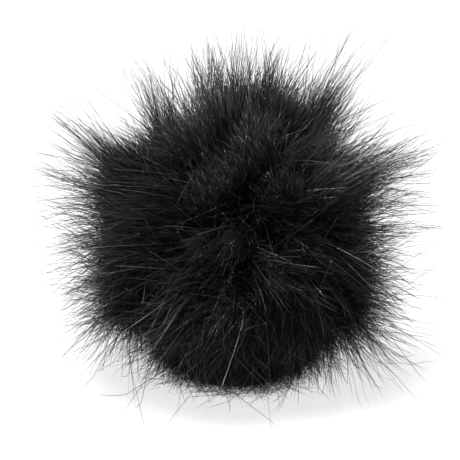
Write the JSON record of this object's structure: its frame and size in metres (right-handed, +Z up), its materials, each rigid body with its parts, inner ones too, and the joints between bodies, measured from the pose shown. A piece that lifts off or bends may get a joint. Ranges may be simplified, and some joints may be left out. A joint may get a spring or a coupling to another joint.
{
  "type": "furry windscreen",
  "caption": "Ball windscreen for a small microphone: a foam-lined lattice basket in a slip-on cover of long faux fur.",
  "frame": {"origin": "centre of the foot of the rubber lip that the ball stands on", "axes": "+Z up along the microphone's axis, from the foot to the nose of the ball; the model repeats every quarter turn about Z"},
  "size_m": [0.104, 0.104, 0.094],
  "materials": {
    "rubber_sleeve": "matt moulded rubber",
    "basket_plastic": "fine-textured moulded plastic",
    "screw_steel": "zinc-plated",
    "lining_foam": "open-cell foam",
    "mesh_skin": "fine woven mesh",
    "rim_tape": "woven tape",
    "knit_backing": "knitted backing",
    "fur_pile": "long acrylic fur with a soft sheen",
    "sewing_thread": "polyester thread",
    "hem_tape": "folded twill tape",
    "elastic": "braided elastic"
  },
  "bodies": {
    "rear_basket": {"grip_sleeve": "rubber_sleeve", "neck_collar": "basket_plastic", "flange_screws": "screw_steel", "rear_cage": "basket_plastic", "rear_foam": "lining_foam", "rear_mesh": "mesh_skin", "rear_rim_tape": "rim_tape"},
    "front_dome": {"front_cage": "basket_plastic", "front_foam": "lining_foam", "front_mesh": "mesh_skin", "front_rim_tape": "rim_tape", "nose_plug": "basket_plastic"},
    "fur_cover": {"crown_seam": "sewing_thread", "girth_seam": "sewing_thread", "skirt_seam": "sewing_thread", "hem_binding": "hem_tape", "hem_elastic": "elastic", "hem_stitches": "sewing_thread", "crown_backing_1": "knit_backing", "skirt_backing_1": "knit_backing", "crown_pile_1": "fur_pile", "skirt_pile_1": "fur_pile", "crown_backing_2": "knit_backing", "skirt_backing_2": "knit_backing", "crown_pile_2": "fur_pile", "skirt_pile_2": "fur_pile", "crown_backing_3": "knit_backing", "skirt_backing_3": "knit_backing", "crown_pile_3": "fur_pile", "skirt_pile_3": "fur_pile", "crown_backing_4": "knit_backing", "skirt_backing_4": "knit_backing", "crown_pile_4": "fur_pile", "skirt_pile_4": "fur_pile"}
  },
  "joints": [
    {"name": "front_dome_slide", "type": "slide", "parent": "rear_basket", "child": "front_dome", "axis": [0, 0, 1], "range_m": [0, 0.06]},
    {"name": "fur_cover_slide", "type": "slide", "parent": "front_dome", "child": "fur_cover", "axis": [0, 0, 1], "range_m": [0, 0.1], "deforming": ["skirt_seam", "hem_binding", "hem_elastic", "hem_stitches", "skirt_backing_1", "skirt_pile_1", "skirt_backing_2", "skirt_pile_2", "skirt_backing_3", "skirt_pile_3", "skirt_backing_4", "skirt_pile_4", "girth_seam"]}
  ]
}
